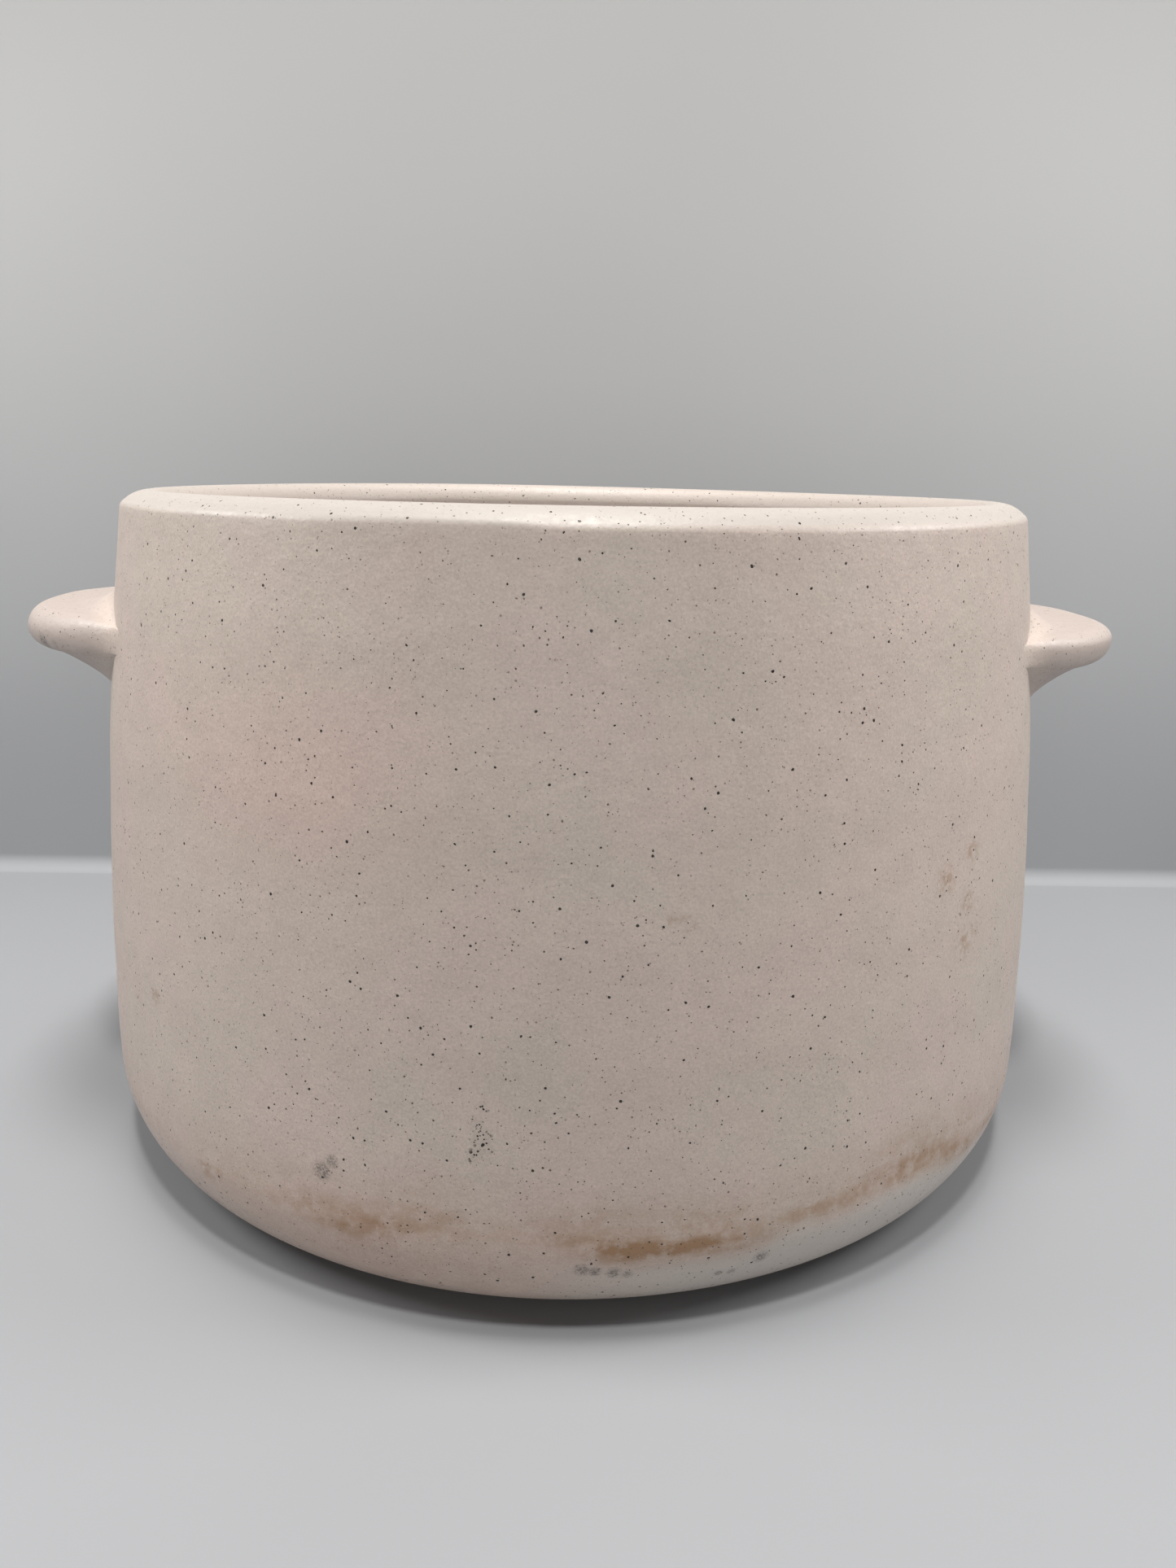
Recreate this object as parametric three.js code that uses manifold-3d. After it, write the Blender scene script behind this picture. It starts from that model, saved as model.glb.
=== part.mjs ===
// A two-eared stoneware pot: one open, round-bellied shell with a solid half-moon ear on each side.
// Millimetres, +Z up. The origin is on the table plane under the pot's centre, and the ears lie along X.
import * as THREE from "three";
import { mergeVertices } from "three/addons/utils/BufferGeometryUtils.js";
import Module from "manifold-3d";

// Driving dimensions of the shell. Radii are from the pot's axis and heights from the table.
const BELLY_RADIUS = 110;
const HEIGHT = 146;
const BASE_CURVE_HEIGHT = 21.5;
const FOOT_RADIUS = 92;
const FOOT_WIDTH = 9;
const FOOT_RECESS = 2.5;
const FOOT_SLOPE = 1.5;
const SHOULDER_RADIUS = 101;
const BEVEL_DROP = 2.7;
const BEVEL_EDGE = 0.9;
const BEVEL_CROWN = 0.45;
const CREST_RADIUS = 95;
const MOUTH_RADIUS = 90.6;
const MOUTH_CURVE = 4.8;
const WALL = 7;
const FLOOR_TOP = 10;
const FLOOR_CURVE = 20;

// Height at which the wall, still upright where the base curve ends, would start to lean in.
const LEAN_HEIGHT = 78.5;

// Driving dimensions of an ear. Its mid-plane is level, and its outline in plan is half an ellipse.
const EAR_HEIGHT = 116;
const EAR_REACH = 125.4;
const EAR_CENTRE = 90;
const EAR_HALF_LENGTH = 47;
const EAR_HALF_THICKNESS = 3.1;
const EAR_EDGE = 3.4;
const EAR_CROWN = 0.05;
const EAR_BELLY = 0.42;

// The fillet between an ear's root and the wall: how far out it runs, and how far it spreads each way.
const FLARE_RUN = 13;
const FLARE_UP = 6;
const FLARE_DOWN = 4.5;
const FLARE_SIDEWAYS = 4.2;
const LUTING_GAP = 0.3;

// How finely the round shapes are divided.
const TURN_STEPS = 80;
const WALL_STEPS = 9;
const CURVE_STEPS = 6;
const EDGE_STEPS = 3;
const BEVEL_STEPS = 5;
const EAR_STEPS = 56;
const EAR_RINGS = 32;
const FLAT_SHARE = 0.625;
const MERGE_DISTANCE = 0.001;

const GLAZE_COLOUR = 0xc3b5a4;
const GLAZE_ROUGHNESS = 0.45;

// Points of a quarter-ellipse or less about a centre, from one angle to another in degrees.
function arc(centre, radii, fromAngle, toAngle, steps = CURVE_STEPS) {
  const at = (step) => THREE.MathUtils.degToRad(fromAngle + ((toAngle - fromAngle) * step) / steps);
  const point = (angle) =>
    new THREE.Vector2(centre[0] + radii[0] * Math.cos(angle), centre[1] + radii[1] * Math.sin(angle));
  return Array.from({ length: steps + 1 }, (_, step) => point(at(step)));
}

// Points of a curve that leaves one end and reaches the other along the lines to the control point.
function bend(from, control, to, steps = WALL_STEPS) {
  const corners = [from, control, to].map(([radius, height]) => new THREE.Vector2(radius, height));
  return new THREE.QuadraticBezierCurve(...corners).getPoints(steps);
}

// Outside of the shell, from the foot up to the lower edge of the bevelled lip.
function outerWall() {
  const shoulder = HEIGHT - BEVEL_DROP;
  const baseCurve = arc(
    [FOOT_RADIUS, BASE_CURVE_HEIGHT],
    [BELLY_RADIUS - FOOT_RADIUS, BASE_CURVE_HEIGHT],
    -90,
    0,
    2 * CURVE_STEPS,
  );
  const wall = bend(
    [BELLY_RADIUS, BASE_CURVE_HEIGHT],
    [BELLY_RADIUS, LEAN_HEIGHT],
    [SHOULDER_RADIUS, shoulder - BEVEL_EDGE],
  );
  return [...baseCurve, ...wall.slice(1)];
}

// The lip: a hand-cut edge, a shallow rounded bevel rising to the crest, and a round drop into the mouth.
function lip() {
  const bevelFoot = [SHOULDER_RADIUS - 1.2 * BEVEL_EDGE, HEIGHT - BEVEL_DROP + 0.7 * BEVEL_EDGE];
  const edge = bend(
    [SHOULDER_RADIUS, HEIGHT - BEVEL_DROP - BEVEL_EDGE],
    [SHOULDER_RADIUS - 0.2 * BEVEL_EDGE, HEIGHT - BEVEL_DROP],
    bevelFoot,
    EDGE_STEPS,
  );
  const bevel = bend(
    bevelFoot,
    [CREST_RADIUS + BEVEL_CROWN * (bevelFoot[0] - CREST_RADIUS), HEIGHT],
    [CREST_RADIUS, HEIGHT],
    BEVEL_STEPS,
  );
  const mouth = arc(
    [CREST_RADIUS, HEIGHT - MOUTH_CURVE],
    [CREST_RADIUS - MOUTH_RADIUS, MOUTH_CURVE],
    90,
    180,
  );
  return [...edge.slice(1), ...bevel.slice(1), ...mouth.slice(1)];
}

// Inside of the shell, from the mouth down to the floor.
function innerWall() {
  const innerBelly = BELLY_RADIUS - WALL;
  const wall = bend(
    [MOUTH_RADIUS, HEIGHT - MOUTH_CURVE],
    [innerBelly, LEAN_HEIGHT],
    [innerBelly, FLOOR_TOP + FLOOR_CURVE],
  );
  const floorCurve = arc(
    [innerBelly - FLOOR_CURVE, FLOOR_TOP + FLOOR_CURVE],
    [FLOOR_CURVE, FLOOR_CURVE],
    0,
    -90,
  );
  return [...wall.slice(1), ...floorCurve.slice(1)];
}

// Underside, from the axis out to the foot ring's outer edge: a shallow recess inside the ring.
function underside() {
  const ring = FOOT_RADIUS - FOOT_WIDTH;
  return [
    [0, FOOT_RECESS],
    [ring - FOOT_SLOPE, FOOT_RECESS],
    [ring, 0],
  ].map(([radius, height]) => new THREE.Vector2(radius, height));
}

// A profile of radii and heights turned about the Z axis.
function turned(profile) {
  return new THREE.LatheGeometry(profile, TURN_STEPS).rotateX(Math.PI / 2);
}

function shellGeometry() {
  const axis = [new THREE.Vector2(0, FLOOR_TOP)];
  return turned([...underside(), ...outerWall(), ...lip(), ...innerWall(), ...axis]);
}

// The solid that an ear's root is cut with: all inside the outer wall, and the luting gap.
function wallCutterGeometry() {
  const wall = [...outerWall(), new THREE.Vector2(CREST_RADIUS, HEIGHT)];
  const grown = wall.map(({ x, y }) => new THREE.Vector2(x + LUTING_GAP, y));
  return turned([new THREE.Vector2(0, 0), ...grown, new THREE.Vector2(0, HEIGHT)]);
}

// How far out the shell's wall stands at the ears.
const wallAtEar = outerWall().reduce((near, point) =>
  Math.abs(point.y - EAR_HEIGHT) < Math.abs(near.y - EAR_HEIGHT) ? point : near,
).x;

// Share of the fillet's spread that is left at a distance out from the wall.
function flareShare(distance) {
  const left = THREE.MathUtils.clamp(1 - distance / FLARE_RUN, 0, 1);
  return left * left;
}

// Cross-section of an ear, by share of the way from its middle to its edge: how far out that is as a
// share of the outline, and how much of the full thickness is left. The rings crowd towards the edge,
// because the middle is cut away with the root, and the last ones round the edge over.
function edgeSection(share) {
  const flatReach = 1 - EAR_EDGE / (EAR_REACH - EAR_CENTRE);
  if (share < FLAT_SHARE) return { reach: flatReach * Math.sqrt(share / FLAT_SHARE), fullness: 1 };
  const turn = ((share - FLAT_SHARE) / (1 - FLAT_SHARE)) * (Math.PI / 2);
  return { reach: flatReach + (1 - flatReach) * Math.sin(turn), fullness: Math.cos(turn) };
}

// Moves a point of a unit sphere, poles up and down, to its place on the ear's round-edged slab.
function earPoint(unit) {
  const share = Math.acos(THREE.MathUtils.clamp(Math.abs(unit.z), 0, 1)) / (Math.PI / 2);
  const around = Math.atan2(unit.y, unit.x);
  const { reach, fullness } = edgeSection(share);
  const x = EAR_CENTRE + (EAR_REACH - EAR_CENTRE) * reach * Math.cos(around);
  const y = EAR_HALF_LENGTH * reach * Math.sin(around);
  const inward = (1 - reach) * (EAR_REACH - EAR_CENTRE);
  const flare = flareShare(Math.hypot(x, y) - wallAtEar);
  const rise = EAR_HALF_THICKNESS + EAR_CROWN * inward + FLARE_UP * flare;
  const depth = EAR_HALF_THICKNESS + EAR_BELLY * inward + FLARE_DOWN * flare;
  const lift = unit.z > 0 ? rise * fullness : -depth * fullness;
  return new THREE.Vector3(x, y + FLARE_SIDEWAYS * flare * reach * Math.sin(around), EAR_HEIGHT + lift);
}

function earSlabGeometry() {
  const geometry = new THREE.SphereGeometry(1, EAR_STEPS, EAR_RINGS).rotateX(Math.PI / 2);
  const position = geometry.getAttribute("position");
  for (let index = 0; index < position.count; index += 1) {
    const moved = earPoint(new THREE.Vector3().fromBufferAttribute(position, index));
    position.setXYZ(index, moved.x, moved.y, moved.z);
  }
  return geometry;
}

const wasm = await Module();
wasm.setup();

function toSolid(geometry) {
  const bare = geometry.clone();
  bare.deleteAttribute("normal");
  bare.deleteAttribute("uv");
  const merged = mergeVertices(bare, MERGE_DISTANCE);
  const vertProperties = new Float32Array(merged.getAttribute("position").array);
  const triVerts = new Uint32Array(merged.index.array);
  return new wasm.Manifold(new wasm.Mesh({ numProp: 3, vertProperties, triVerts }));
}

function toGeometry(solid) {
  const { vertProperties, triVerts } = solid.getMesh();
  const geometry = new THREE.BufferGeometry();
  geometry.setAttribute("position", new THREE.BufferAttribute(vertProperties, 3));
  geometry.setIndex(new THREE.BufferAttribute(triVerts, 1));
  geometry.computeVertexNormals();
  return geometry;
}

function earGeometry() {
  return toGeometry(toSolid(earSlabGeometry()).subtract(toSolid(wallCutterGeometry())));
}

function glaze() {
  return new THREE.MeshStandardMaterial({
    color: GLAZE_COLOUR,
    roughness: GLAZE_ROUGHNESS,
    metalness: 0,
  });
}

function piece(name, geometry) {
  const mesh = new THREE.Mesh(geometry, glaze());
  mesh.name = name;
  return mesh;
}

const pot = new THREE.Group();
pot.add(piece("pot_body", shellGeometry()));

const rightEar = piece("right_ear", earGeometry());
pot.add(rightEar);

const leftEar = piece("left_ear", earGeometry());
leftEar.rotation.z = Math.PI;
pot.add(leftEar);

export default pot;
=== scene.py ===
"""The looks of a two-eared stoneware pot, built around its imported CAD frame.

Everything is in metres, +Z up, in the frame's own place: the pot turns about Z, its ears lie along X, and
its front, the side that the camera sees, faces -Y. Sizes of the glaze, the stains and the hand-made
unevenness are written in millimetres and multiplied by MM.
"""

import math

import bmesh
import bpy
from mathutils import Matrix, Vector, noise


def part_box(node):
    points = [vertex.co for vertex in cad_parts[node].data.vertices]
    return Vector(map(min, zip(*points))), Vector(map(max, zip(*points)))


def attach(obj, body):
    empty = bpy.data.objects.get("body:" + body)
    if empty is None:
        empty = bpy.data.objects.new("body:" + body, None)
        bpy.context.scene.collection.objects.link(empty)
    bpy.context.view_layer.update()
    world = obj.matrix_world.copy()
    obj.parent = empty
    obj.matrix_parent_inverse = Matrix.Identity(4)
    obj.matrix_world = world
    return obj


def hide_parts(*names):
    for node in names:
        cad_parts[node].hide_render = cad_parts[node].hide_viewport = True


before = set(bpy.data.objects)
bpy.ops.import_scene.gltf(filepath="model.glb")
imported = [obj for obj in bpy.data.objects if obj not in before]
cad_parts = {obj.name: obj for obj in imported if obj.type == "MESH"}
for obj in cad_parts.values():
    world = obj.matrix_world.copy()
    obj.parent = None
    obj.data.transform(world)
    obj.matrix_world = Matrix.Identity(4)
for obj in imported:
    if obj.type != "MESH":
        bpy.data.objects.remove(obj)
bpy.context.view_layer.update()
MM = 0.001

# -------------------------------------------------------------------------------------------------
# Sizes, in millimetres. The belly and the height come from the frame. The others follow the CAD's profile,
# or are details that only the looks have.
# -------------------------------------------------------------------------------------------------

_, shell_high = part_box("pot_body")

BELLY = shell_high.x / MM
HEIGHT = shell_high.z / MM
BASE_CURVE = 21.5
SHOULDER = 101.0
LEAN_HEIGHT = 78.5
WALL = 7.0
FLOOR_TOP = 10.0
FLOOR_CURVE = 20.0

# The foot ring, how its inner edge slopes up into the recess, and how high the bare clay goes.
FOOT = 92.0
FOOT_WIDTH = 9.0
FOOT_RECESS = 2.5
FOOT_ROUND = 0.9
FOOT_SLOPE = 1.5
FOOT_SLOPE_CORNER = 1.0
FOOT_TURN_IN = 0.6
FOOT_TURN_UP = 1.0
GLAZE_LINE = 1.0

# The lip. The corner under the bevel is rounded by BEVEL_EDGE, and its points lie at shares of that.
BEVEL_DROP = 2.7
BEVEL_EDGE = 0.9
BEVEL_CORNER_IN = 0.2
BEVEL_OVER_IN = 1.2
BEVEL_OVER_UP = 0.7
CREST = 95.0
CROWN_SHARE = 0.58
CROWN_DROP = 0.1
MOUTH = 90.6
MOUTH_CURVE = 4.8

# How many points go round the pot, and how far apart they are along its profile.
TURN_STEPS = 288
BEVEL_STEP = 0.25
FOOT_ROUND_STEP = 0.4
ROUND_STEP = 0.5
FINE_STEP = 1.1
FOOT_FLAT_STEP = 1.5
INNER_STEP = 2.0
COARSE_STEP = 4.0

# How far hand work strays from a true turned shape: the throwing rings, the patches between them, and an
# oval with a weaker three-sided lobe, which are turned about Z by an angle in radians.
WALL_WAVE = 0.22
WALL_WAVE_LENGTH = 17.0
RING_SEED = (7.0, 3.0)
RING_TILT = 0.25
PATCH_SCALE = 1.6
PATCH_HEIGHT = 45.0
PATCH_SHARE = 0.8
OUT_OF_ROUND = 0.25
OVAL_TURN = 0.6
WALL_LOBE = 0.4
LIP_WAVE = 0.35
LIP_OVAL_TURN = 2.2
LIP_LOBE = 0.6
LIP_LOBE_TURN = 0.5

# The bevel's lower edge wanders, and stands higher on one side of a place near the front than on the other.
BEVEL_WANDER = 0.3
BEVEL_WANDER_SCALE = 3.0
BEVEL_WANDER_SEED = 0.4
BEVEL_WANDER_SHARE = 0.8
BEVEL_SWITCH_ANGLE = 3
BEVEL_SWITCH_WIDTH = 3

# Where the unevenness fades out: towards the axis, on the foot, below the lip and below the bevel.
AXIS_FADE_START = 60.0
AXIS_FADE_WIDTH = 30.0
FOOT_FADE = 6.0
LIP_FADE_POWER = 6
BEVEL_FADE = 14.0

# An ear: its middle level, how wide it is, how far it stands out of the wall, and its hand-made waves.
EAR_LEVEL = 116.0
EAR_HALF_ANGLE = 26.1
EAR_ROUNDNESS = 2.4
EAR_END_ANGLE = 34.0
EAR_END_BLEND = 3.0
EAR_REACH = 125.9
EAR_EDGE = 4.0
EAR_SINK = 0.35
EAR_ROOT = 3.0
EAR_ROOT_FADE = 6.0
EAR_SLICES = 120
EAR_WAVE = 0.3
EAR_WAVE_HEIGHT = 60.0
EAR_WAVE_SCALE = 4.0
EAR_LIFT_SCALE = 1.7
EAR_LIFT_SEED = Vector((5, 0, 0))

# Towards its ends an ear gets thinner, and its edge and its fillet shrink to shares of its reach.
EAR_EDGE_SHARE = 0.45
EAR_RUN_SHARE = 0.85
EAR_END_THICKNESS = 0.6
EAR_FULL_REACH = 8.0
FILLET_STEPS = 14
FLANK_STEPS = 6
NOSE_STEPS = 9
ROOT_STEPS = 8

# The two ears differ as hand-made ones do. A side of a section has its thickness at the nose, its slope, and
# how far its fillet runs out along the ear and spreads along the wall.
RIGHT_EAR = {
    "side": 0.0,
    "level": 116.5,
    "top": {"thickness": 2.8, "slope": 0.02, "run": 9.0, "spread": 6.5},
    "under": {"thickness": 4.9, "slope": 0.46, "run": 11.5, "spread": 5.0},
    "seed": 0.0,
}
LEFT_EAR = {
    "side": math.pi,
    "level": 115.9,
    "top": {"thickness": 4.2, "slope": 0.05, "run": 8.5, "spread": 6.0},
    "under": {"thickness": 4.4, "slope": 0.49, "run": 12.5, "spread": 3.8},
    "seed": 9.0,
}


# -------------------------------------------------------------------------------------------------
# Curves in the plane of radius and height
# -------------------------------------------------------------------------------------------------


def arc(centre, radii, start, end, step):
    """Points of an ellipse's arc from one angle to another, in degrees, about a step apart."""
    length = math.radians(abs(end - start)) * max(radii)
    count = max(3, math.ceil(length / step))
    angles = [math.radians(start + (end - start) * i / count) for i in range(count + 1)]
    return [(centre[0] + radii[0] * math.cos(a), centre[1] + radii[1] * math.sin(a)) for a in angles]


def bend(start, control, end, step):
    """Points of a quadratic curve that leaves and arrives along the lines to its control point."""
    count = max(2, math.ceil(math.dist(start, end) / step))
    points = []
    for i in range(count + 1):
        t = i / count
        weights = ((1 - t) ** 2, 2 * t * (1 - t), t * t)
        points.append(tuple(sum(w * p[k] for w, p in zip(weights, (start, control, end))) for k in (0, 1)))
    return points


def straight(start, end, step):
    return bend(start, ((start[0] + end[0]) / 2, (start[1] + end[1]) / 2), end, step)


def joined(*runs):
    """Runs of points end to end, without the points that two of them share."""
    points = list(runs[0])
    for run in runs[1:]:
        points += [p for p in run if math.dist(p, points[-1]) > 1e-6]
    return points


def clamp(value):
    return min(1.0, max(0.0, value))


def underside():
    """The recess under the floor, then the foot ring's inner edge and its flat face."""
    ring = FOOT - FOOT_WIDTH
    recess_edge = (ring - FOOT_SLOPE - FOOT_ROUND, FOOT_RECESS)
    slope_corner = (ring - FOOT_SLOPE_CORNER, FOOT_RECESS)
    slope_end = (ring - FOOT_TURN_IN, FOOT_TURN_UP)
    return joined(
        straight((0, FOOT_RECESS), recess_edge, COARSE_STEP),
        bend(recess_edge, slope_corner, slope_end, ROUND_STEP),
        bend(slope_end, (ring, 0), (ring + FOOT_ROUND, 0), FOOT_ROUND_STEP),
        straight((ring + FOOT_ROUND, 0), (FOOT, 0), FOOT_FLAT_STEP),
    )


def base_curve():
    return arc((FOOT, BASE_CURVE), (BELLY - FOOT, BASE_CURVE), -90, 0, FINE_STEP)


def outer_wall():
    shoulder = (SHOULDER, HEIGHT - BEVEL_DROP - BEVEL_EDGE)
    return bend((BELLY, BASE_CURVE), (BELLY, LEAN_HEIGHT), shoulder, FINE_STEP)


def lip():
    """The hand-cut bevel, the crest, and the round of the mouth."""
    under = (SHOULDER, HEIGHT - BEVEL_DROP - BEVEL_EDGE)
    corner = (SHOULDER - BEVEL_CORNER_IN * BEVEL_EDGE, HEIGHT - BEVEL_DROP)
    over = (SHOULDER - BEVEL_OVER_IN * BEVEL_EDGE, HEIGHT - BEVEL_DROP + BEVEL_OVER_UP * BEVEL_EDGE)
    crown = (CREST + CROWN_SHARE * (over[0] - CREST), HEIGHT - CROWN_DROP)
    return joined(
        bend(under, corner, over, BEVEL_STEP),
        bend(over, crown, (CREST, HEIGHT), ROUND_STEP),
        arc((CREST, HEIGHT - MOUTH_CURVE), (CREST - MOUTH, MOUTH_CURVE), 90, 180, ROUND_STEP),
    )


def inner_wall():
    inner_belly = BELLY - WALL
    cove_middle = (inner_belly - FLOOR_CURVE, FLOOR_TOP + FLOOR_CURVE)
    wall_foot = (inner_belly, FLOOR_TOP + FLOOR_CURVE)
    return joined(
        bend((MOUTH, HEIGHT - MOUTH_CURVE), (inner_belly, LEAN_HEIGHT), wall_foot, INNER_STEP),
        arc(cove_middle, (FLOOR_CURVE, FLOOR_CURVE), 0, -90, INNER_STEP),
        straight((inner_belly - FLOOR_CURVE, FLOOR_TOP), (0, FLOOR_TOP), COARSE_STEP),
    )


OUTSIDE = joined(base_curve(), outer_wall())


def wall_radius(height):
    """The outside's radius at a height, both in millimetres."""
    for (low_radius, low), (high_radius, high) in zip(OUTSIDE, OUTSIDE[1:]):
        if low <= height <= high:
            return low_radius + (high_radius - low_radius) * (height - low) / (high - low)
    return OUTSIDE[-1][0] if height > OUTSIDE[-1][1] else OUTSIDE[0][0]


def unevenness(angle, height):
    """How far the thrown wall stands in or out of true at an angle about Z and a height in millimetres."""
    around = Vector((math.cos(angle), math.sin(angle), 0))
    ring_height = height / WALL_WAVE_LENGTH + RING_TILT * math.sin(angle)
    rings = noise.noise(Vector((*RING_SEED, ring_height)))
    patches = noise.noise(around * PATCH_SCALE + Vector((0, 0, height / PATCH_HEIGHT)))
    turn = math.cos(2 * angle + OVAL_TURN) + WALL_LOBE * math.cos(3 * angle)
    return WALL_WAVE * (rings + PATCH_SHARE * patches) + OUT_OF_ROUND * 0.5 * (turn - (1 + WALL_LOBE))


def lip_height(angle):
    """How far the lip dips at an angle about Z, in millimetres. It never rises past the frame's top."""
    turn = math.cos(2 * angle + LIP_OVAL_TURN) + LIP_LOBE * math.cos(3 * angle + LIP_LOBE_TURN)
    return LIP_WAVE * 0.5 * (turn - (1 + LIP_LOBE))


def cut_height(angle):
    """How far the bevel's lower edge, cut by hand, stands above or below its mean at an angle about Z."""
    from_front = math.degrees(math.atan2(math.cos(angle), -math.sin(angle)))
    facing = max(0.0, -math.sin(angle))
    around = Vector((math.cos(angle), math.sin(angle), BEVEL_WANDER_SEED))
    wander = noise.noise(around * BEVEL_WANDER_SCALE)
    switch = math.tanh((from_front + BEVEL_SWITCH_ANGLE) / BEVEL_SWITCH_WIDTH)
    return BEVEL_WANDER * (BEVEL_WANDER_SHARE * wander - facing * switch)


# -------------------------------------------------------------------------------------------------
# Meshes
# -------------------------------------------------------------------------------------------------


def make_object(name, mesh_maker):
    mesh = bpy.data.meshes.new(name)
    shape = bmesh.new()
    mesh_maker(shape)
    bmesh.ops.recalc_face_normals(shape, faces=shape.faces)
    for face in shape.faces:
        face.smooth = True
    shape.to_mesh(mesh)
    shape.free()
    piece = bpy.data.objects.new(name, mesh)
    bpy.context.scene.collection.objects.link(piece)
    return piece


def shell_point(angle, radius, height):
    """A point of the shell, with the hand's unevenness. It fades out towards the axis and on the foot."""
    near_wall = clamp((radius - AXIS_FADE_START) / AXIS_FADE_WIDTH)
    above_foot = min(1.0, height / FOOT_FADE)
    near_lip = (height / HEIGHT) ** LIP_FADE_POWER
    uneven = unevenness(angle, height) * near_wall * above_foot
    if radius > CREST:
        bevel_line = HEIGHT - BEVEL_DROP
        if height > bevel_line:
            near_bevel = (HEIGHT - height) / BEVEL_DROP
        else:
            near_bevel = 1 - (bevel_line - height) / BEVEL_FADE
        height += cut_height(angle) * max(0.0, near_bevel)
    r = (radius + uneven) * MM
    return Vector((r * math.cos(angle), r * math.sin(angle), (height + lip_height(angle) * near_lip) * MM))


def build_shell(shape):
    profile = joined(underside(), base_curve(), outer_wall(), lip(), inner_wall())
    angles = [2 * math.pi * i / TURN_STEPS for i in range(TURN_STEPS)]
    first = shape.verts.new(Vector((0, 0, profile[0][1] * MM)))
    last = shape.verts.new(Vector((0, 0, profile[-1][1] * MM)))
    rings = []
    for radius, height in profile[1:-1]:
        rings.append([shape.verts.new(shell_point(angle, radius, height)) for angle in angles])
    for low, high in zip(rings, rings[1:]):
        for i in range(TURN_STEPS):
            j = (i + 1) % TURN_STEPS
            shape.faces.new((low[i], low[j], high[j], high[i]))
    for i in range(TURN_STEPS):
        j = (i + 1) % TURN_STEPS
        shape.faces.new((first, rings[0][j], rings[0][i]))
        shape.faces.new((last, rings[-1][i], rings[-1][j]))


def ear_reach(angle):
    """How far the ear's edge stands out of the wall at an angle from its middle, eased in at the ends."""
    full = EAR_REACH - wall_radius(EAR_LEVEL)
    reach = full * (1 - (math.degrees(abs(angle)) / EAR_HALF_ANGLE) ** EAR_ROUNDNESS)
    return (reach + math.hypot(reach, EAR_END_BLEND)) / 2


def ear_half_section(reach, side):
    """One side of an ear's cross-section, from the wall to the nose: distances out, heights off its
    middle.
    """
    edge = min(EAR_EDGE, EAR_EDGE_SHARE * reach)
    run = min(side["run"], EAR_RUN_SHARE * (reach - edge))
    spread = side["spread"] * math.sqrt(run / side["run"])
    full_share = (1 - EAR_END_THICKNESS) * min(1.0, reach / EAR_FULL_REACH)
    thickness = side["thickness"] * (EAR_END_THICKNESS + full_share)
    rows = []
    for i in range(FILLET_STEPS + 1):
        turn = math.pi / 2 * i / FILLET_STEPS
        rows.append((run * (1 - math.cos(turn)), thickness + spread * (1 - math.sin(turn))))
    for i in range(1, FLANK_STEPS + 1):
        rows.append((run + (reach - edge - run) * i / FLANK_STEPS, thickness))
    rows = [(out, high + side["slope"] * (reach - edge - out)) for out, high in rows]
    for i in range(1, NOSE_STEPS + 1):
        turn = math.pi / 2 * i / NOSE_STEPS
        rows.append((reach - edge + edge * math.sin(turn), thickness * math.cos(turn)))
    return rows


def ear_section(angle, ear):
    """An ear's whole cross-section at an angle from its middle, closed through the wall behind it."""
    reach = ear_reach(angle)
    top = ear_half_section(reach, ear["top"])
    under = ear_half_section(reach, ear["under"])
    rise, fall = top[0][1], under[0][1]
    outline = [(out, -down) for out, down in under]
    outline += [(out, up) for out, up in reversed(top[:-1])]
    outline += [(-EAR_ROOT, rise - (fall + rise) * i / ROOT_STEPS) for i in range(ROOT_STEPS + 1)]
    return outline


def ear_point(angle, out, level, ear):
    """A point of an ear: the wall's own place, and the distance out of it."""
    height = ear["level"] + level
    around = ear["side"] + angle
    root = max(0.0, 1 - max(out, 0.0) / EAR_ROOT_FADE)
    place = Vector((math.cos(around), math.sin(around), height / EAR_WAVE_HEIGHT)) * EAR_WAVE_SCALE
    place += Vector((0, 0, ear["seed"]))
    wave = EAR_WAVE * (1 - root)
    uneven = unevenness(around, height) * root
    radius = wall_radius(height) + uneven + out - EAR_SINK * root + wave * noise.noise(place)
    height += wave * noise.noise(place * EAR_LIFT_SCALE + EAR_LIFT_SEED)
    return Vector((radius * MM * math.cos(around), radius * MM * math.sin(around), height * MM))


def build_ear(ear):
    def make(shape):
        half = math.radians(EAR_END_ANGLE)
        rings = []
        for i in range(EAR_SLICES + 1):
            angle = half * (2 * i / EAR_SLICES - 1)
            rings.append([shape.verts.new(ear_point(angle, *row, ear)) for row in ear_section(angle, ear)])
        count = len(rings[0])
        for left, right in zip(rings, rings[1:]):
            for i in range(count):
                j = (i + 1) % count
                shape.faces.new((left[i], left[j], right[j], right[i]))
        shape.faces.new(rings[0][::-1])
        shape.faces.new(rings[-1])

    return make


# -------------------------------------------------------------------------------------------------
# Shader helpers. A socket is given as a number, a colour or another node's output.
# -------------------------------------------------------------------------------------------------

# Specks: the size and the strength of the wobble in their outlines, how much small ones outnumber large
# ones, and how much of a speck's radius is fully dark.
SPECK_WOBBLE_SIZE = 0.7
SPECK_WOBBLE = 0.35
SPECK_POWER = 2.5
SPECK_CORE = 0.85


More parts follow.
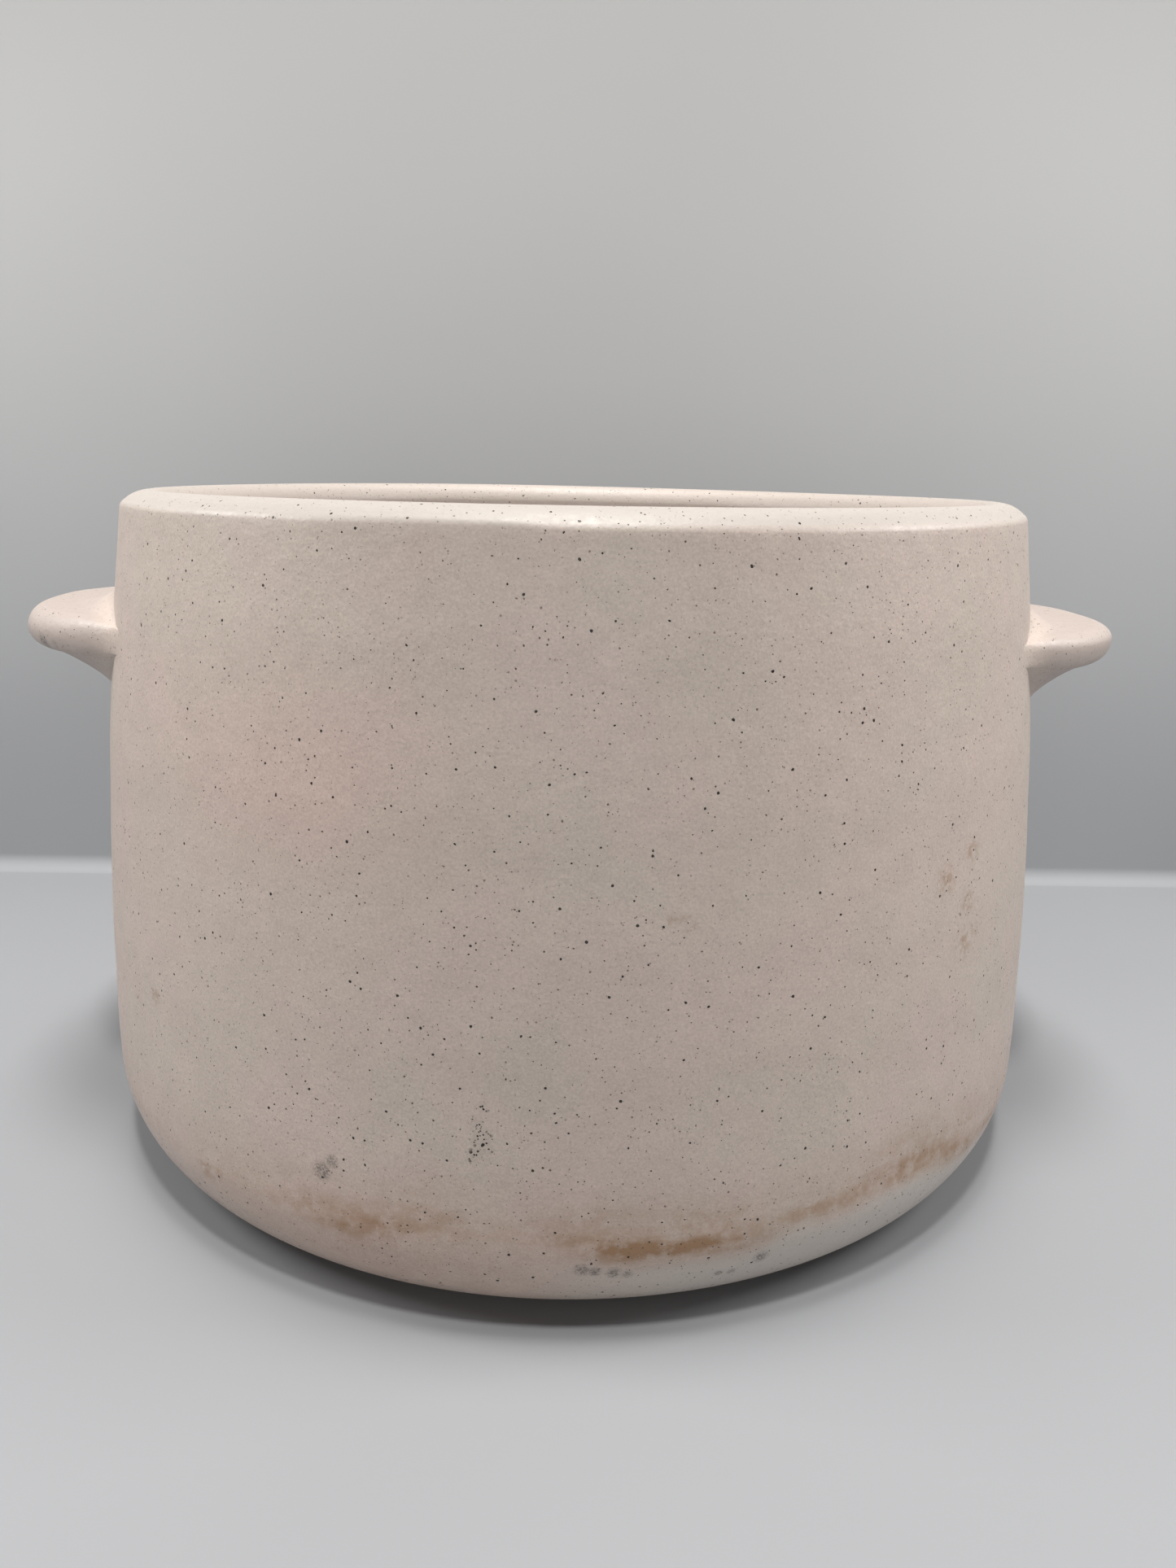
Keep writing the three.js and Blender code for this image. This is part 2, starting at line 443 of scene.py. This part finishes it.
class Shader:
    """A material's node tree, with one short call for each kind of node."""

    def __init__(self, name):
        self.material = bpy.data.materials.new(name)
        self.material.use_nodes = True
        self.tree = self.material.node_tree
        self.tree.nodes.clear()
        self.place = self.node("ShaderNodeTexCoord").outputs["Object"]

    def node(self, kind, **settings):
        made = self.tree.nodes.new(kind)
        for key, value in settings.items():
            setattr(made, key, value)
        return made

    def feed(self, socket, value):
        if isinstance(value, bpy.types.NodeSocket):
            self.tree.links.new(value, socket)
        elif hasattr(value, "__len__") and len(value) == 3 and socket.type == "RGBA":
            socket.default_value = (*value, 1)
        else:
            socket.default_value = value

    def maths(self, operation, *values, clamp=False):
        made = self.node("ShaderNodeMath", operation=operation, use_clamp=clamp)
        for socket, value in zip(made.inputs, values):
            self.feed(socket, value)
        return made.outputs[0]

    def vectors(self, operation, *values):
        made = self.node("ShaderNodeVectorMath", operation=operation)
        for socket, value in zip(made.inputs, values):
            self.feed(socket, value)
        return made.outputs["Value" if operation == "DISTANCE" else "Vector"]

    def step(self, value, low, high, to_low=0.0, to_high=1.0):
        """to_low where value is under low, to_high where it is over high, and smooth between."""
        made = self.node("ShaderNodeMapRange", interpolation_type="SMOOTHSTEP")
        names = ("Value", "From Min", "From Max", "To Min", "To Max")
        for name, given in zip(names, (value, low, high, to_low, to_high)):
            self.feed(made.inputs[name], given)
        return made.outputs["Result"]

    def mix(self, share, first, second, blend="MIX"):
        made = self.node("ShaderNodeMix", data_type="RGBA", blend_type=blend)
        self.feed(made.inputs["Factor"], share)
        self.feed(made.inputs[6], first)
        self.feed(made.inputs[7], second)
        return made.outputs[2]

    def shaded(self, colour, shade):
        """A colour made lighter or darker by a number."""
        tint = self.node("ShaderNodeCombineColor")
        for socket in tint.inputs[:3]:
            self.feed(socket, shade)
        return self.mix(1.0, colour, tint.outputs[0], "MULTIPLY")

    def noise(self, size, detail=2.0, roughness=0.5, vector=None, offset=0.0):
        """Even noise from 0 to 1, its features about size millimetres across."""
        made = self.node("ShaderNodeTexNoise")
        where = vector or self.place
        if offset:
            where = self.vectors("ADD", where, (offset, offset * 0.7, offset * 1.3))
        self.feed(made.inputs["Vector"], where)
        self.feed(made.inputs["Scale"], 1 / (size * MM))
        self.feed(made.inputs["Detail"], detail)
        self.feed(made.inputs["Roughness"], roughness)
        return made.outputs[0]

    def attribute(self, name):
        return self.node("ShaderNodeAttribute", attribute_name=name).outputs["Fac"]

    def finish(self, colour, roughness, bump=None, bump_distance=0.1, **fixed):
        surface = self.node("ShaderNodeBsdfPrincipled")
        self.feed(surface.inputs["Base Color"], colour)
        self.feed(surface.inputs["Roughness"], roughness)
        for name, value in fixed.items():
            surface.inputs[name.replace("_", " ")].default_value = value
        if bump is not None:
            made = self.node("ShaderNodeBump")
            made.inputs["Strength"].default_value = 1.0
            made.inputs["Distance"].default_value = bump_distance * MM
            self.feed(made.inputs["Height"], bump)
            self.tree.links.new(made.outputs[0], surface.inputs["Normal"])
        output = self.node("ShaderNodeOutputMaterial")
        self.tree.links.new(surface.outputs[0], output.inputs["Surface"])
        return self.material


def specks(shader, spacing, smallest, largest, share, offset):
    """Round specks scattered through the clay: 1 inside one and 0 outside, and a random number for each.

    They are balls with their middles spacing apart on average, cut through by the surface. The radii run
    from smallest to largest, mostly small, and only a share of the places holds one. All lengths are in
    millimetres. The offset is in metres and only makes one set of specks differ from another.
    """
    wobble = shader.node("ShaderNodeTexNoise")
    shader.feed(wobble.inputs["Vector"], shader.place)
    shader.feed(wobble.inputs["Scale"], 1 / (SPECK_WOBBLE_SIZE * MM))
    drift = shader.vectors("SCALE", wobble.outputs["Color"])
    drift.node.inputs["Scale"].default_value = SPECK_WOBBLE * MM
    moved = shader.vectors("ADD", shader.place, drift)
    where = shader.vectors("ADD", moved, (offset, offset * 1.7, offset * 0.6))
    cells = shader.node("ShaderNodeTexVoronoi")
    shader.feed(cells.inputs["Vector"], where)
    cells.inputs["Scale"].default_value = 1 / (spacing * MM)
    random = shader.node("ShaderNodeSeparateColor")
    shader.feed(random.inputs[0], cells.outputs["Color"])
    radius = shader.maths("POWER", random.outputs[0], SPECK_POWER)
    radius = shader.maths("MULTIPLY_ADD", radius, (largest - smallest) / spacing, smallest / spacing)
    inner = shader.maths("MULTIPLY", radius, SPECK_CORE)
    inside = shader.step(cells.outputs["Distance"], inner, radius, 1.0, 0.0)
    held = shader.maths("LESS_THAN", random.outputs[1], share)
    return shader.maths("MULTIPLY", inside, held), random.outputs[2]


def on_wall(angle, height):
    """A place on the outside, by its angle round from the front in degrees and its height in millimetres."""
    turn = math.radians(angle)
    radius = wall_radius(height) * MM
    return (radius * math.sin(turn), -radius * math.cos(turn), height * MM)


def blotch(shader, places, edge):
    """1 near any of the places, each a point and a radius in millimetres, with an edge of that softness."""
    total = None
    for place, radius in places:
        distance = shader.vectors("DISTANCE", shader.place, place)
        near = shader.step(distance, radius * (1 - edge) * MM, radius * (1 + edge) * MM, 1.0, 0.0)
        total = near if total is None else shader.maths("MAXIMUM", total, near)
    return total


# -------------------------------------------------------------------------------------------------
# Where the wear, the stains and the painted light are. Angles are degrees round from the front, towards
# +X, and heights are millimetres. A place on an ear is a point in metres.
# -------------------------------------------------------------------------------------------------

SCUFFS = [
    (on_wall(-7.5, 46.6), 1.1),
    (on_wall(-8.1, 43.6), 1.3),
    (on_wall(-7.6, 40.8), 1.9),
    (on_wall(-7.4, 38.8), 1.6),
    (on_wall(-8.2, 37.4), 1.5),
]
SMUDGES = [
    (on_wall(-23.4, 29.4), 1.6),
    (on_wall(-22.3, 31.8), 1.1),
    (on_wall(1.6, 15.1), 1.3),
    (on_wall(2.8, 14.6), 1.1),
    (on_wall(4.6, 14.1), 1.2),
    (on_wall(5.9, 13.6), 0.9),
    (on_wall(15.0, 10.8), 0.8),
    (on_wall(16.4, 10.6), 0.8),
    (on_wall(19.2, 13.4), 1.3),
    ((-0.1138, -0.0348, 0.1130), 1.9),
    ((-0.1103, -0.0388, 0.1132), 1.3),
]
BROWN_SPOTS = [
    (on_wall(44.7, 83.3), 2.2),
    (on_wall(40.1, 79.6), 2.6),
    (on_wall(44.2, 73.1), 2.0),
    (on_wall(43.6, 65.6), 2.6),
    (on_wall(45.6, 66.8), 1.8),
    (on_wall(-47.9, 49.8), 1.6),
    (on_wall(-39.3, 18.6), 2.2),
    (on_wall(-37.4, 19.4), 1.4),
    (on_wall(10.4, 79.6), 1.3),
    (on_wall(9.0, 80.2), 0.9),
    ((0.1045, -0.0400, 0.1225), 2.2),
]

# The tide-line left round the base: how strong it is and how high it stands, by angle from the front.
TIDE_STRENGTH = [
    (-180, 0.2), (-130, 0.45), (-80, 0.15), (-44, 0.1), (-30, 0.25), (-20, 0.6), (-13, 0.5), (-7, 0.2),
    (-2, 0.5), (5, 1.0), (16, 0.9), (21, 0.5), (27, 0.5), (38, 0.85), (46, 0.95), (54, 0.5), (64, 0.2),
    (110, 0.4), (150, 0.3), (180, 0.2),
]
TIDE_HEIGHT = [
    (-180, 20), (-120, 22), (-44, 20), (-30, 20), (-20, 19), (-13, 23), (-2, 21), (5, 18.5), (18, 18.6),
    (24, 21.4), (38, 22.2), (48, 18.8), (60, 18), (120, 21), (180, 20),
]
# How strong the painted bounce light is by angle from the front: a paler zone on the base under the
# tide-line.
BOUNCE_LIGHT_STRENGTH = [
    (-180, 0.2), (-90, 0.1), (-5, 0.0), (4, 0.5), (12, 0.9), (40, 1.0), (56, 0.8), (75, 0.2), (180, 0.2),
]

# The line itself ripples, in millimetres, and is broken into wisps that lean with the angle.
RIPPLE = 1.4
RIPPLE_ANGLE = 6.0
WISP = 0.9
WISP_ANGLE = 8.0
WISP_HEIGHT = 1.8
WISP_LEAN = 14.0
RIPPLE_SEED = 3.1
WISP_SEED = 8.4

# The line has a sharp band and a wide one just above it, each with a strength, a rise over the line, and how
# far it spreads below and above. Under the line the painted bounce light, a paler zone, ends softly.
TIDE_BANDS = ((0.7, 0.0, 1.8, 2.8), (0.7, 1.0, 3.4, 8.0))
BOUNCE_LIGHT_DROP = 3.2
BOUNCE_LIGHT_EDGE = 1.1

# Broad patches: strength, middle angle and its spread, middle height and its spread.
TAN_PATCH = (0.34, -19, 19, 13, 11)
PINK_PATCHES = ((0.9, -27, 16, 100, 17), (0.8, -18, 26, 16, 13))

# How deep the inside's painted light comes in, where the lip's painted sheen and the ears' painted shade
# start, and how strong they get.
OUTSIDE_DEPTH = 3.0
INSIDE_LIGHT_BLEND = 3.0
INSIDE_LIGHT_STRENGTH = 0.6
LIP_SHEEN_START = 1.2
LIP_SHEEN_BLEND = 1.5
LIP_SHEEN_STRENGTH = 0.8
EAR_SHADE_START = 0.8
EAR_SHADE_BLEND = 4.0


def along(table, angle):
    """A value between the rows of a table of angles and values."""
    for (low, first), (high, second) in zip(table, table[1:]):
        if low <= angle <= high:
            t = (angle - low) / (high - low)
            return first + (second - first) * t * t * (3 - 2 * t)
    return table[0][1]


def hump(value, middle, below, above):
    width = below if value < middle else above
    return math.exp(-(((value - middle) / width) ** 2))


def patch(angle, height, strength, middle, spread, level, rise):
    return strength * math.exp(-(((angle - middle) / spread) ** 2) - ((height - level) / rise) ** 2)


STAINS_AND_PAINTED_LIGHT = ("tan", "pale", "pink", "inside", "lip", "ear")


def stain_and_light_strengths(x, y, z):
    """How strong each broad change of colour, stain or painted light, is at a point in millimetres."""
    angle = math.degrees(math.atan2(x, -y))
    reach = math.hypot(x, y)
    outside = 1.0 if reach > wall_radius(z) - OUTSIDE_DEPTH else 0.0
    ripple = noise.noise(Vector((angle / RIPPLE_ANGLE, 0, RIPPLE_SEED)))
    wisp = noise.noise(Vector((angle / WISP_ANGLE, z / WISP_HEIGHT + angle / WISP_LEAN, WISP_SEED)))
    line = along(TIDE_HEIGHT, angle) + RIPPLE * ripple
    bands = sum(share * hump(z, line + rise, below, above) for share, rise, below, above in TIDE_BANDS)
    tan = along(TIDE_STRENGTH, angle) * (WISP + WISP * wisp) * bands + patch(angle, z, *TAN_PATCH)
    # Painted bounce light: the base under the tide-line is made paler and greyer.
    pale = along(BOUNCE_LIGHT_STRENGTH, angle) * (0.5 - 0.5 * math.tanh((z - line + BOUNCE_LIGHT_DROP) / BOUNCE_LIGHT_EDGE))
    pink = sum(patch(angle, z, *sizes) for sizes in PINK_PATCHES)
    # Painted light: a lighter inside, a greyer lip for the lamps' sheen, and darker ears as painted shade.
    turn_in = clamp((CREST - reach) / INSIDE_LIGHT_BLEND) * (z > FLOOR_TOP / 2)
    on_lip = clamp((z - HEIGHT + BEVEL_DROP + LIP_SHEEN_START) / LIP_SHEEN_BLEND)
    return {
        "tan": max(0.0, tan) * outside,
        "pale": max(0.0, pale) * outside,
        "pink": max(0.0, pink) * outside,
        "inside": INSIDE_LIGHT_STRENGTH * turn_in,
        "lip": LIP_SHEEN_STRENGTH * on_lip * (1 - turn_in),
        "ear": clamp((reach - wall_radius(z) - EAR_SHADE_START) / EAR_SHADE_BLEND),
    }


def paint_stains_and_light(piece):
    """Stores how strong each broad change of colour, stain or painted light, is at each vertex of a piece."""
    mesh = piece.data
    # Adding a layer moves the others, so the layers are looked up after all of them are made.
    for name in STAINS_AND_PAINTED_LIGHT:
        mesh.attributes.new(name, "FLOAT", "POINT")
    layers = {name: mesh.attributes[name].data for name in STAINS_AND_PAINTED_LIGHT}
    for vertex in mesh.vertices:
        for name, value in stain_and_light_strengths(*(vertex.co / MM)).items():
            layers[name][vertex.index].value = value


# -------------------------------------------------------------------------------------------------
# Materials
# -------------------------------------------------------------------------------------------------

CREAM = (0.470, 0.396, 0.350)
PINK_CREAM = (0.480, 0.391, 0.350)
GREEN_CREAM = (0.456, 0.395, 0.342)
BLUSH = (0.515, 0.375, 0.330)
# Painted sheen: the lip is greyer and less red than the wall, for the lamps' white sheen on it.
LIP_SHEEN_CREAM = (0.406, 0.375, 0.343)
# Painted shade: the ears are darker than the wall, to tone down how brightly the lamps light them.
EAR_SHADED_CREAM = (0.385, 0.327, 0.297)
# Painted light: the inside is lighter than the wall, so the far inner wall looks brightly lit.
INSIDE_LIT_CREAM = (0.520, 0.465, 0.425)
TAN = (0.270, 0.160, 0.088)
# Painted bounce light: the pale grey of the base's underturn under the tide-line.
BOUNCE_LIGHT_GREY = (0.470, 0.440, 0.410)
SOOT = (0.055, 0.050, 0.045)
IRON = (0.006, 0.005, 0.004)
BROWN_IRON = (0.060, 0.038, 0.024)
PALE_CLAY = (0.50, 0.40, 0.31)
DARK_CLAY = (0.42, 0.34, 0.27)

# Each set of specks, in millimetres but for its share of places and the offset that tells it from the rest.
PEPPER = {"spacing": 0.72, "smallest": 0.20, "largest": 0.38, "share": 0.8, "offset": 5.0}
FAINT = {"spacing": 0.95, "smallest": 0.09, "largest": 0.16, "share": 0.95, "offset": 1.0}
MIDDLE = {"spacing": 1.25, "smallest": 0.11, "largest": 0.22, "share": 0.95, "offset": 2.0}
LARGE = {"spacing": 2.1, "smallest": 0.14, "largest": 0.31, "share": 0.95, "offset": 3.0}
FOOT_IRON = {"spacing": 2.4, "smallest": 0.12, "largest": 0.4, "share": 0.8, "offset": 1.5}

BLUSH_SHARE = 0.5
STAIN_AND_BOUNCE_SHARE = 0.75
SPOT_SHARE = 0.55
SMUDGE_SHARE = 0.75
SCUFF_HAZE = 0.06
LARGE_SHARE = 0.97
SKIN_SHARE = 0.35
PIT_DEPTH = -0.5


def glaze_cream(shader):
    """The clean glaze: cream that drifts between pink and green, with a fine grain. Over it, painted light:
    a lighter inside, a greyer lip for the lamps' sheen, and darker ears as painted shade.
    """
    drift = shader.noise(26, detail=3, roughness=0.6)
    colour = shader.mix(shader.step(drift, 0.38, 0.62), PINK_CREAM, GREEN_CREAM)
    colour = shader.mix(0.45, colour, CREAM)
    blush = shader.maths("MULTIPLY", shader.attribute("pink"), BLUSH_SHARE, clamp=True)
    colour = shader.mix(blush, colour, BLUSH)

    grain = shader.noise(0.45, detail=3, roughness=0.7)
    grain = shader.step(grain, 0.25, 0.75, 0.87, 1.09)
    cloud = shader.step(shader.noise(7, detail=2, offset=0.3), 0.3, 0.7, 0.975, 1.02)
    colour = shader.shaded(colour, shader.maths("MULTIPLY", grain, cloud))

    # Painted light: a lighter inside, a greyer lip for the lamps' sheen, and darker ears as painted shade.
    colour = shader.mix(shader.attribute("inside"), colour, INSIDE_LIT_CREAM)
    colour = shader.mix(shader.attribute("lip"), colour, LIP_SHEEN_CREAM)
    return shader.mix(shader.attribute("ear"), colour, EAR_SHADED_CREAM)


def glaze_stains_and_bounce_light(shader, colour):
    """The tide-line with painted bounce light under it, the brown spots, the smudges and the scuffs."""
    wisps = shader.step(shader.noise(3.2, detail=4, roughness=0.65, offset=1.1), 0.30, 0.62, 0.35, 1.0)
    # Painted bounce light: the base under the tide-line is made paler and greyer.
    pale = shader.maths("MULTIPLY", shader.attribute("pale"), STAIN_AND_BOUNCE_SHARE, clamp=True)
    colour = shader.mix(pale, colour, BOUNCE_LIGHT_GREY)
    tan = shader.maths("MULTIPLY", shader.attribute("tan"), wisps)
    tan = shader.maths("MULTIPLY", tan, STAIN_AND_BOUNCE_SHARE, clamp=True)
    colour = shader.mix(tan, colour, TAN)

    spots = blotch(shader, BROWN_SPOTS, 0.8)
    mottle = shader.step(shader.noise(1.3, detail=3, offset=2.0), 0.35, 0.65)
    spots = shader.maths("MULTIPLY", shader.maths("MULTIPLY", spots, mottle), SPOT_SHARE)
    colour = shader.mix(spots, colour, TAN)

    grime = shader.step(shader.noise(0.38, detail=3, offset=4), 0.38, 0.62, 0.25, 1.0)
    smudge = shader.maths("MULTIPLY", blotch(shader, SMUDGES, 0.7), grime)
    colour = shader.mix(shader.maths("MULTIPLY", smudge, SMUDGE_SHARE), colour, SOOT)
    pepper, _ = specks(shader, **PEPPER)
    haze = shader.maths("MAXIMUM", pepper, SCUFF_HAZE)
    scuff = shader.maths("MULTIPLY", blotch(shader, SCUFFS, 0.45), haze)
    return shader.mix(scuff, colour, IRON)


def glaze_specks(shader, colour):
    """The iron specks in three sizes. Gives the colour, and where the middle and large specks are."""
    faint, faint_random = specks(shader, **FAINT)
    faint = shader.maths("MULTIPLY", faint, shader.step(faint_random, 0.0, 1.0, 0.2, 0.75))
    colour = shader.mix(faint, colour, BROWN_IRON)
    middle, middle_random = specks(shader, **MIDDLE)
    middle = shader.maths("MULTIPLY", middle, shader.step(middle_random, 0.0, 1.0, 0.4, 1.0))
    colour = shader.mix(middle, colour, BROWN_IRON)
    large, _ = specks(shader, **LARGE)
    colour = shader.mix(shader.maths("MULTIPLY", large, LARGE_SHARE), colour, IRON)
    return colour, shader.maths("MAXIMUM", large, middle)


def glaze_material():
    """Satin oatmeal glaze over iron-speckled stoneware, with its stains and painted light."""
    shader = Shader("speckled_glaze")
    colour = glaze_stains_and_bounce_light(shader, glaze_cream(shader))
    colour, iron = glaze_specks(shader, colour)
    rough = shader.step(shader.noise(1.6, detail=3, offset=6.0), 0.3, 0.7, 0.44, 0.56)
    skin = shader.maths("MULTIPLY", shader.noise(0.9, detail=2, offset=7.0), SKIN_SHARE)
    waves = shader.noise(3.5, detail=2, offset=8.0)
    skin = shader.maths("MULTIPLY_ADD", waves, 1 - SKIN_SHARE, skin)
    bump = shader.maths("ADD", skin, shader.maths("MULTIPLY", iron, PIT_DEPTH))
    return shader.finish(colour, rough, bump, bump_distance=0.16, IOR=1.46)


def bare_clay_material():
    """The unglazed foot: pale buff clay, dry and gritty, a little dirty where it rubs the table."""
    shader = Shader("bare_clay")
    grit = shader.step(shader.noise(0.5, detail=4, roughness=0.7), 0.25, 0.75, 0.82, 1.1)
    colour = shader.mix(shader.step(shader.noise(14, detail=3), 0.35, 0.65), PALE_CLAY, DARK_CLAY)
    colour = shader.shaded(colour, grit)
    iron, _ = specks(shader, **FOOT_IRON)
    colour = shader.mix(shader.maths("MULTIPLY", iron, 0.8), colour, BROWN_IRON)
    bump = shader.noise(0.6, detail=4, roughness=0.7)
    return shader.finish(colour, 0.9, bump, bump_distance=0.25, IOR=1.45)


FADE_HEIGHT = 0.3


def paper_material(name, colour, lit_top_colour=None, one_sided=False):
    """Plain matte paper for the floor and the backdrop.

    With a top colour it is painted shade, darker at its foot and lighter over the first FADE_HEIGHT up, and
    one-sided paper is clear from behind.
    """
    shader = Shader(name)
    if lit_top_colour:
        split = shader.node("ShaderNodeSeparateXYZ")
        shader.feed(split.inputs[0], shader.place)
        colour = shader.mix(shader.step(split.outputs["Z"], 0.0, FADE_HEIGHT), colour, lit_top_colour)
    cloud = shader.step(shader.noise(180, detail=2), 0.3, 0.7, 0.98, 1.02)
    paper = shader.finish(shader.shaded(colour, cloud), 0.7)
    if one_sided:
        surface = shader.tree.nodes["Principled BSDF"].outputs[0]
        clear = shader.node("ShaderNodeBsdfTransparent").outputs[0]
        by_side = shader.node("ShaderNodeMixShader")
        shader.feed(by_side.inputs[0], shader.node("ShaderNodeNewGeometry").outputs["Backfacing"])
        shader.tree.links.new(surface, by_side.inputs[1])
        shader.tree.links.new(clear, by_side.inputs[2])
        output = next(node for node in shader.tree.nodes if node.type == "OUTPUT_MATERIAL")
        shader.tree.links.new(by_side.outputs[0], output.inputs["Surface"])
    return paper


# -------------------------------------------------------------------------------------------------
# The pieces
# -------------------------------------------------------------------------------------------------

glaze = glaze_material()
bare_clay = bare_clay_material()


def add_piece(name, mesh_maker, node):
    piece = make_object(name, mesh_maker)
    piece.data.materials.append(glaze)
    paint_stains_and_light(piece)
    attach(piece, "root")
    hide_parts(node)
    return piece


pot_shell = add_piece("pot_shell", build_shell, "pot_body")
pot_shell.data.materials.append(bare_clay)
recess_top = FOOT_RECESS * MM * 1.2
for face in pot_shell.data.polygons:
    on_foot = face.center.z < GLAZE_LINE * MM
    in_recess = face.center.z < recess_top and face.normal.z < -0.9
    if on_foot or in_recess:
        face.material_index = 1

add_piece("right_ear_handle", build_ear(RIGHT_EAR), "right_ear")
add_piece("left_ear_handle", build_ear(LEFT_EAR), "left_ear")


# -------------------------------------------------------------------------------------------------
# Stage: floor, backdrop, lights and camera, in metres and watts
# -------------------------------------------------------------------------------------------------

STAGE_HALF_WIDTH = 1.6
FLOOR_FRONT = -1.6
FLOOR_BACK = 1.6
SWEEP_START = 0.137
SWEEP_RADIUS = 0.006
SWEEP_ANGLE = 86
SWEEP_STEPS = 16
BACKDROP_TOP = 1.1
BACKDROP_LEAN = 0.07

FLOOR_GREY = (0.254, 0.260, 0.272)
# The backdrop is painted shade: darker grey at its foot, paler higher up.
BACKDROP_SHADED_GREY = (0.276, 0.284, 0.296)
BACKDROP_LIT_PALE = (0.425, 0.427, 0.426)

def stage_sheet(name, outline, material):
    """A sheet over the stage's whole width, along an outline of distances back and heights."""
    mesh = bpy.data.meshes.new(name)
    vertices = [(side * STAGE_HALF_WIDTH, back, up) for back, up in outline for side in (-1, 1)]
    faces = [(2 * i, 2 * i + 1, 2 * i + 3, 2 * i + 2) for i in range(len(outline) - 1)]
    mesh.from_pydata(vertices, [], faces)
    mesh.materials.append(material)
    for face in mesh.polygons:
        face.use_smooth = True
    sheet = bpy.data.objects.new(name, mesh)
    bpy.context.scene.collection.objects.link(sheet)
    return sheet


def sweep_outline():
    """The backdrop: a short curve up from the floor, and a plane that leans back a little."""
    points = []
    for i in range(SWEEP_STEPS + 1):
        turn = math.radians(SWEEP_ANGLE * i / SWEEP_STEPS)
        points.append((SWEEP_START + SWEEP_RADIUS * math.sin(turn), SWEEP_RADIUS * (1 - math.cos(turn))))
    back, up = points[-1]
    points.append((back + BACKDROP_LEAN * (BACKDROP_TOP - up), BACKDROP_TOP))
    return points


floor_outline = [(FLOOR_FRONT, 0.0), (FLOOR_BACK, 0.0)]
stage_sheet("floor", floor_outline, paper_material("floor_paper", FLOOR_GREY))
backdrop_paper = paper_material("backdrop_paper", BACKDROP_SHADED_GREY, BACKDROP_LIT_PALE, one_sided=True)
backdrop = stage_sheet("backdrop", sweep_outline(), backdrop_paper)
backdrop.visible_shadow = False

CEILING_WHITE = (1.0, 0.985, 0.96)
LOW_WHITE = (1.0, 0.985, 0.97)
CEILING_HEIGHT = 1.83
CEILING_PLACE = -0.075
CEILING_FRONT_PLACE = -0.60
POT_MIDDLE = (0.0, 0.0, 0.06)
FRONT_OF_POT = (0.0, -0.25, 0.0)


def area_light(name, place, aim, size, power, colour):
    lamp = bpy.data.lights.new(name, "AREA")
    lamp.shape = "RECTANGLE"
    lamp.size, lamp.size_y = size
    lamp.energy = power
    lamp.color = colour
    holder = bpy.data.objects.new(name, lamp)
    bpy.context.scene.collection.objects.link(holder)
    holder.location = place
    holder.rotation_euler = (Vector(aim) - Vector(place)).to_track_quat("-Z", "Y").to_euler()


def ceiling_light(name, place, size, power):
    """A light under the ceiling that shines straight down, at a distance behind or in front of the pot."""
    area_light(name, (0.0, place, CEILING_HEIGHT), (0.0, place, 0.0), size, power, CEILING_WHITE)


ceiling_light("ceiling", CEILING_PLACE, size=(0.36, 0.49), power=24.5)
ceiling_light("ceiling_front", CEILING_FRONT_PLACE, size=(0.15, 0.15), power=18.2)
area_light("front_low", (0.0, -0.70, 0.153), POT_MIDDLE, size=(0.45, 0.20), power=1.08, colour=LOW_WHITE)
for side in (-1, 1):
    side_place = (side * 0.40, -0.08, 0.34)
    area_light("side", side_place, FRONT_OF_POT, size=(0.20, 0.12), power=1.48, colour=LOW_WHITE)

# The room gives hardly any light. Past the stage's edges the camera sees it as a plain pale grey.
ROOM_LIGHT = (0.90, 0.93, 0.97)
ROOM_LIGHT_STRENGTH = 0.010
ROOM_GREY = (0.50, 0.51, 0.52)

world = bpy.data.worlds.new("soft_room")
world.use_nodes = True
world_nodes = world.node_tree.nodes
room_light = world_nodes["Background"]
room_light.inputs["Color"].default_value = (*ROOM_LIGHT, 1)
room_light.inputs["Strength"].default_value = ROOM_LIGHT_STRENGTH
room_look = world_nodes.new("ShaderNodeBackground")
room_look.inputs["Color"].default_value = (*ROOM_GREY, 1)
seen = world_nodes.new("ShaderNodeLightPath").outputs["Is Camera Ray"]
by_ray = world_nodes.new("ShaderNodeMixShader")
world.node_tree.links.new(seen, by_ray.inputs[0])
world.node_tree.links.new(room_light.outputs[0], by_ray.inputs[1])
world.node_tree.links.new(room_look.outputs[0], by_ray.inputs[2])
world.node_tree.links.new(by_ray.outputs[0], world_nodes["World Output"].inputs["Surface"])
bpy.context.scene.world = world
bpy.context.scene.view_settings.view_transform = "Standard"

# The camera stands a little above the lip's height, close in front of the pot, and looks slightly down.
CAMERA_DISTANCE = 0.2870
CAMERA_HEIGHT = 0.1517
CAMERA_PITCH = math.radians(15.04)
CAMERA_ROLL = math.radians(1.04)
CAMERA_TURN = math.radians(0.82)
LENS = 27.09
SENSOR = 36.0

camera_data = bpy.data.cameras.new("camera")
camera_data.lens = LENS
camera_data.sensor_width = SENSOR
camera_data.clip_start = 0.01
camera = bpy.data.objects.new("camera", camera_data)
bpy.context.scene.collection.objects.link(camera)
turned = Matrix.Rotation(-CAMERA_TURN, 4, "Z") @ Matrix.Rotation(math.pi / 2 - CAMERA_PITCH, 4, "X")
camera.matrix_world = (
    Matrix.Translation((0, -CAMERA_DISTANCE, CAMERA_HEIGHT)) @ turned @ Matrix.Rotation(CAMERA_ROLL, 4, "Z")
)
bpy.context.scene.camera = camera
